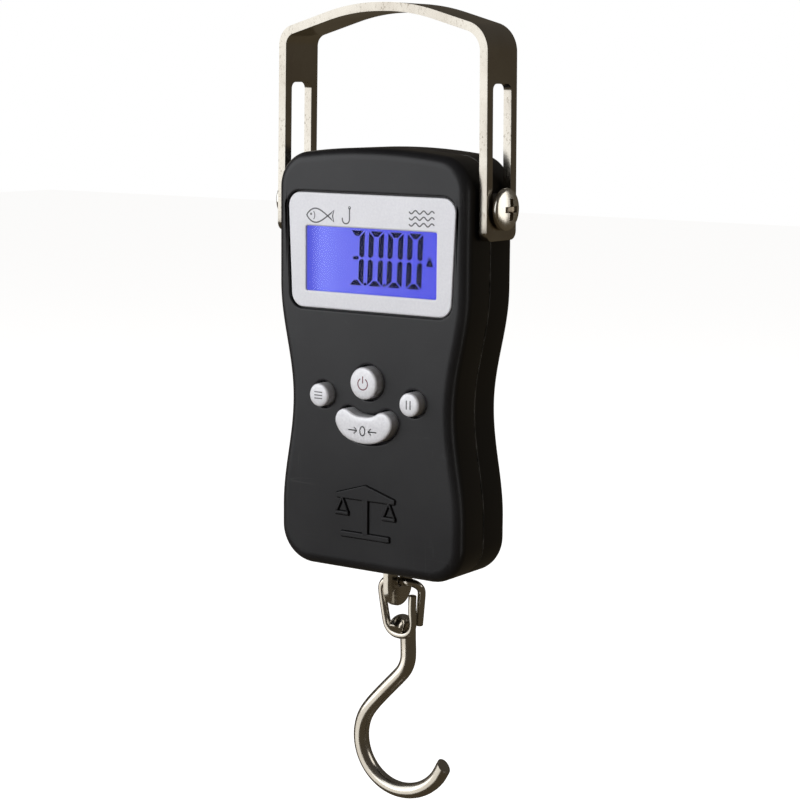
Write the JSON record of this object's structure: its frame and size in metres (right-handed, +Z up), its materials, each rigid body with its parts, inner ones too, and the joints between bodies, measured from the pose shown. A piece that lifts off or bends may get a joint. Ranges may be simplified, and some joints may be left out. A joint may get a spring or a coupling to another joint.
{
  "type": "digital fish scale",
  "caption": "Handheld hanging scale: slotted steel bail on side screws, waisted black case with display and push buttons, load cell tongue, wire link and bent hook.",
  "frame": {"origin": "middle of the underside of the bail's arch, where a hand or a peg carries the scale", "axes": "+Z up along the hanging line, +Y towards the back of the case, +X to the right of someone reading the display"},
  "size_m": [0.0688, 0.0243, 0.2046],
  "materials": {
    "bail_nickel": "nickel-plated strip steel, fine drawn grain on the faces and bright cut edges",
    "hook_nickel": "bright nickel-plated round wire",
    "screw_nickel": "bright nickel-plated pan head",
    "steel": "zinc-plated steel",
    "case_black": "satin moulded ABS",
    "panel_silver": "satin silver film",
    "button_silver": "satin silver paint",
    "lens": "clear acrylic",
    "display": "backlit liquid-crystal cell",
    "backlight": "milky light guide",
    "rubber": "layered contact rubber",
    "board": "green solder mask on glass-fibre board",
    "chip": "moulded epoxy",
    "aluminium": "milled aluminium",
    "gauge": "polyimide film",
    "battery": null,
    "contact": "nickel-plated spring metal",
    "label": "plain film",
    "lead_red": "PVC-covered wire",
    "lead_black": "PVC-covered wire"
  },
  "bodies": {
    "bail": {"bail_strap": "bail_nickel"},
    "pivot_bushes": {"left_bush": "steel", "right_bush": "steel"},
    "case": {"left_pivot_screw": "screw_nickel", "right_pivot_screw": "screw_nickel", "front_shell": "case_black", "rear_shell": "case_black", "rear_label": "label", "case_screw_1": "steel", "case_screw_2": "steel", "case_screw_3": "steel", "case_screw_4": "steel", "display_panel": "panel_silver", "display_lens": "lens", "lcd_glass": "display", "backlight": "backlight", "upper_zebra_strip": "rubber", "lower_zebra_strip": "rubber", "main_board": "board", "board_screw_1": "steel", "board_screw_2": "steel", "board_screw_3": "steel", "board_screw_4": "steel", "controller_chip": "chip", "buzzer": "chip", "set_switch": "chip", "hold_switch": "chip", "power_switch": "chip", "tare_switch": "chip", "battery_1": "battery", "battery_2": "battery", "battery_contact_1": "contact", "battery_contact_2": "contact", "battery_spring_1": "contact", "battery_spring_2": "contact", "hanger_frame": "steel", "load_cell": "aluminium", "cell_bolt_1": "steel", "cell_bolt_2": "steel", "tongue_pin": "steel", "left_strain_gauge": "gauge", "right_strain_gauge": "gauge", "hook_tongue": "bail_nickel", "battery_lead_red": "lead_red", "battery_lead_black": "lead_black", "cell_lead": "label"},
    "battery_cover": {"battery_cover": "case_black"},
    "set_button": {"set_button": "button_silver"},
    "hold_button": {"hold_button": "button_silver"},
    "power_button": {"power_button": "button_silver"},
    "tare_button": {"tare_button": "button_silver"},
    "hook_link": {"hook_link": "hook_nickel"},
    "hook": {"hook": "hook_nickel"}
  },
  "joints": [
    {"name": "bail_slide", "type": "slide", "parent": "bail", "child": "pivot_bushes", "axis": [0, 0, 1], "range_m": [0, 0.0255]},
    {"name": "bail_swing", "type": "hinge", "parent": "pivot_bushes", "child": "case", "pos_m": [0, 0, -0.0472], "axis": [1, 0, 0], "range_deg": [-90, 90]},
    {"name": "cover_lift", "type": "slide", "parent": "case", "child": "battery_cover", "axis": [0, 1, 0], "range_m": [0, 0.006]},
    {"name": "set_press", "type": "slide", "parent": "case", "child": "set_button", "axis": [0, 1, 0], "range_m": [0, 0.0007], "stiffness_N_per_m": 400, "springref_m": -0.001},
    {"name": "hold_press", "type": "slide", "parent": "case", "child": "hold_button", "axis": [0, 1, 0], "range_m": [0, 0.0007], "stiffness_N_per_m": 400, "springref_m": -0.001},
    {"name": "power_press", "type": "slide", "parent": "case", "child": "power_button", "axis": [0, 1, 0], "range_m": [0, 0.0007], "stiffness_N_per_m": 400, "springref_m": -0.001},
    {"name": "tare_press", "type": "slide", "parent": "case", "child": "tare_button", "axis": [0, 1, 0], "range_m": [0, 0.0007], "stiffness_N_per_m": 400, "springref_m": -0.001},
    {"name": "link_swing", "type": "hinge", "parent": "case", "child": "hook_link", "pos_m": [0, 0.0032, -0.14375], "axis": [1, 0, 0], "range_deg": [-60, 60]},
    {"name": "hook_swing", "type": "hinge", "parent": "hook_link", "child": "hook", "pos_m": [0.00095, 0.0032, -0.15825], "axis": [1, 0, 0], "range_deg": [-75, 75]}
  ]
}
